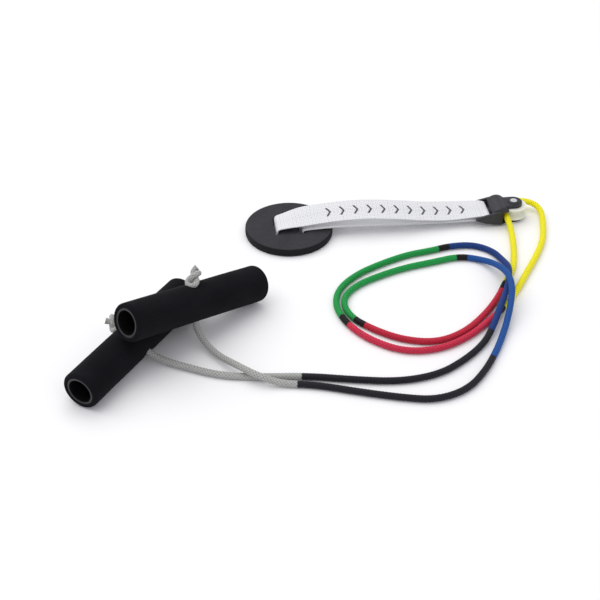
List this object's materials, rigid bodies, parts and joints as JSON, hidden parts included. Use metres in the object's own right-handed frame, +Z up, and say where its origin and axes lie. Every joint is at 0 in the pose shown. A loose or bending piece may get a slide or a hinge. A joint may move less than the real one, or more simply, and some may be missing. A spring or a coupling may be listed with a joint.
{
  "type": "over-door shoulder pulley",
  "caption": "Over-door shoulder exercise pulley: a colour-zoned braided rope with foam grips runs over a grooved wheel on a webbing strap with a door disc.",
  "frame": {"origin": "centre of the door disc's underside", "axes": "+X along the strap from the disc to the pulley, +Z up from the surface that everything lies on"},
  "size_m": [0.4275, 0.2841, 0.0638],
  "materials": {
    "disc_rubber": "matte foam rubber",
    "webbing": "flat woven webbing",
    "bright_steel": "polished",
    "moulded_black": "satin moulded plastic",
    "white_nylon": "smooth nylon",
    "braid": "braided cord in coloured zones",
    "grip_foam": "matte closed-cell foam",
    "tube_plastic": "satin plastic"
  },
  "bodies": {
    "pulley": {"pulley_housing": "moulded_black", "strap_pin": "bright_steel", "sheave_axle": "bright_steel", "rope": "braid"},
    "sheave": {"sheave": "white_nylon"},
    "strap": {"strap_webbing": "webbing"},
    "anchor": {"anchor_disc": "disc_rubber"},
    "handle_a": {"handle_a_grip": "grip_foam", "handle_a_tube": "tube_plastic", "knot_a": "braid"},
    "handle_b": {"handle_b_grip": "grip_foam", "handle_b_tube": "tube_plastic", "knot_b": "braid"}
  },
  "joints": [
    {"name": "sheave_spin", "type": "hinge", "parent": "pulley", "child": "sheave", "pos_m": [0.2048, 0, 0.0085], "axis": [0, 0, 1], "continuous": true},
    {"name": "strap_swing", "type": "hinge", "parent": "pulley", "child": "strap", "pos_m": [0.1775, 0, 0.0085], "axis": [0, 1, 0], "range_deg": [-90, 90]},
    {"name": "anchor_tilt", "type": "hinge", "parent": "strap", "child": "anchor", "pos_m": [0, 0, 0.0049], "axis": [0, 1, 0], "range_deg": [0, 90], "deforming": ["strap_webbing"]},
    {"name": "handle_a_tip", "type": "hinge", "parent": "pulley", "child": "handle_a", "pos_m": [-0.0918, -0.1433, 0.0179], "axis": [-0.6347, 0.7727, 0], "range_deg": [0, 35], "deforming": ["rope"]},
    {"name": "handle_b_roll", "type": "hinge", "parent": "pulley", "child": "handle_b", "pos_m": [-0.1405, -0.159, 0.0154], "axis": [0.5878, 0.809, 0], "range_deg": [-25, 25], "deforming": ["rope"]}
  ]
}
